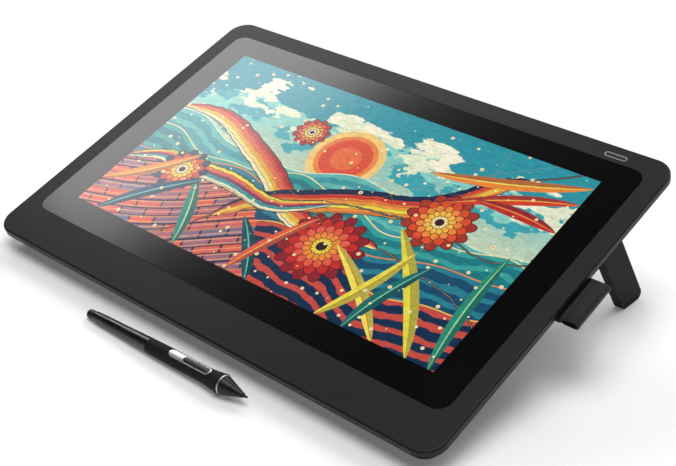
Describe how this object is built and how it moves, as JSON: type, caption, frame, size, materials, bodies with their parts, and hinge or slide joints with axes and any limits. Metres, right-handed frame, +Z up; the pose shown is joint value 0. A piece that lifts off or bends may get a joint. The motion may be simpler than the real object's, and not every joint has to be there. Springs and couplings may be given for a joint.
{
  "type": "pen display tablet",
  "caption": "Pen display with an etched cover glass, moulded case, fold-out slanted legs, power button, fabric pen loop and a loose pen lying in front of it",
  "frame": {"origin": "Middle of the front rubber foot's standing facet, on the desk", "axes": "X to the right along the front edge, Y to the rear, Z up; the glass tilts 19 degrees up to the rear"},
  "size_m": [0.4365, 0.2972, 0.1102],
  "materials": {
    "case_plastic": "moulded, fine matte texture, charcoal",
    "etched_glass": "black-bordered cover glass, etched against glare",
    "foam_tape": "thin black adhesive tape",
    "panel_glass": "dark laminated panel glass",
    "white_film": "white diffusing film",
    "acrylic": "clear acrylic",
    "aluminium_sheet": "folded sheet, plain",
    "steel_sheet": "plated steel sheet",
    "board_laminate": "green solder mask on glass laminate",
    "component_plastic": "moulded black components",
    "flex_film": "amber film lead",
    "screw_steel": "dark zinc plated steel",
    "insert_brass": "machined brass",
    "foot_rubber": "soft black rubber",
    "leg_plastic": "moulded, near black",
    "nib_plastic": "hard moulded plastic",
    "button_plastic": "moulded black plastic",
    "light_plastic": "translucent light ring",
    "loop_fabric": "black elastic fabric",
    "pen_gloss": "polished black",
    "pen_rubber": "matte rubber sleeve",
    "pen_silver": "satin silver plating",
    "switch_plastic": "dark moulded plastic",
    "coil_copper": "enamelled copper winding on its core"
  },
  "bodies": {
    "tablet": {"front_frame": "case_plastic", "cover_glass": "etched_glass", "glass_adhesive": "foam_tape", "lcd_panel": "panel_glass", "diffuser_films": "white_film", "light_guide": "acrylic", "led_strip": "white_film", "panel_tray": "aluminium_sheet", "sensor_board": "board_laminate", "shield_plate": "steel_sheet", "inner_frame": "aluminium_sheet", "frame_screws": "screw_steel", "main_board": "board_laminate", "board_components": "component_plastic", "board_screws": "screw_steel", "cable_socket": "steel_sheet", "display_flex": "flex_film", "sensor_flex": "flex_film", "back_cover": "case_plastic", "case_screws": "screw_steel", "stand_inserts": "insert_brass", "front_foot": "foot_rubber", "rear_feet": "foot_rubber", "hinge_pins": "screw_steel", "hinge_washers": "screw_steel", "spare_nibs": "nib_plastic", "nib_puller": "screw_steel", "power_light": "light_plastic", "button_board": "board_laminate", "pen_loop": "loop_fabric", "loop_anchor": "leg_plastic"},
    "power_button": {"power_button": "button_plastic"},
    "cable_cover": {"cable_cover": "case_plastic"},
    "right_leg": {"right_leg": "leg_plastic", "right_leg_pad": "foot_rubber"},
    "left_leg": {"left_leg": "leg_plastic", "left_leg_pad": "foot_rubber"},
    "pen": {"pen_barrel": "pen_gloss", "pen_grip": "pen_rubber", "switch_bezel": "pen_silver", "nose_ring": "pen_silver", "nose_cone": "pen_gloss", "pen_coil": "coil_copper", "pen_board": "board_laminate"},
    "nib": {"nib": "nib_plastic"},
    "eraser": {"eraser": "switch_plastic"},
    "side_switch": {"side_switch": "switch_plastic"}
  },
  "joints": [
    {"name": "right_leg_fold", "type": "hinge", "parent": "tablet", "child": "right_leg", "pos_m": [0.19325, 0.19027, 0.07217], "axis": [0, 0.9455, 0.3256], "range_deg": [0, 90]},
    {"name": "left_leg_fold", "type": "hinge", "parent": "tablet", "child": "left_leg", "pos_m": [-0.19325, 0.19027, 0.07217], "axis": [0, -0.9455, -0.3256], "range_deg": [0, 90]},
    {"name": "power_button_press", "type": "slide", "parent": "tablet", "child": "power_button", "axis": [0, 0.3256, -0.9455], "range_m": [0, 0.0004], "stiffness_N_per_m": 1500, "springref_m": -0.0003},
    {"name": "cable_cover_pull", "type": "slide", "parent": "tablet", "child": "cable_cover", "axis": [0, 0.3256, -0.9455], "range_m": [0, 0.025]},
    {"name": "pen_lift", "type": "slide", "parent": "tablet", "child": "pen", "axis": [0, 0, 1], "range_m": [0, 0.12]},
    {"name": "nib_press", "type": "slide", "parent": "pen", "child": "nib", "axis": [-0.9996, 0, -0.027], "range_m": [0, 0.0004], "stiffness_N_per_m": 1500, "springref_m": -0.0002},
    {"name": "eraser_press", "type": "slide", "parent": "pen", "child": "eraser", "axis": [0.9996, 0, 0.027], "range_m": [0, 0.0005], "stiffness_N_per_m": 1500, "springref_m": -0.0002},
    {"name": "side_switch_rock", "type": "hinge", "parent": "pen", "child": "side_switch", "pos_m": [0.03417, -0.03945, 0.01199], "axis": [-0.0059, 0.9755, 0.2198], "range_deg": [-2.5, 2.5], "stiffness_Nm_per_rad": 0.05}
  ]
}
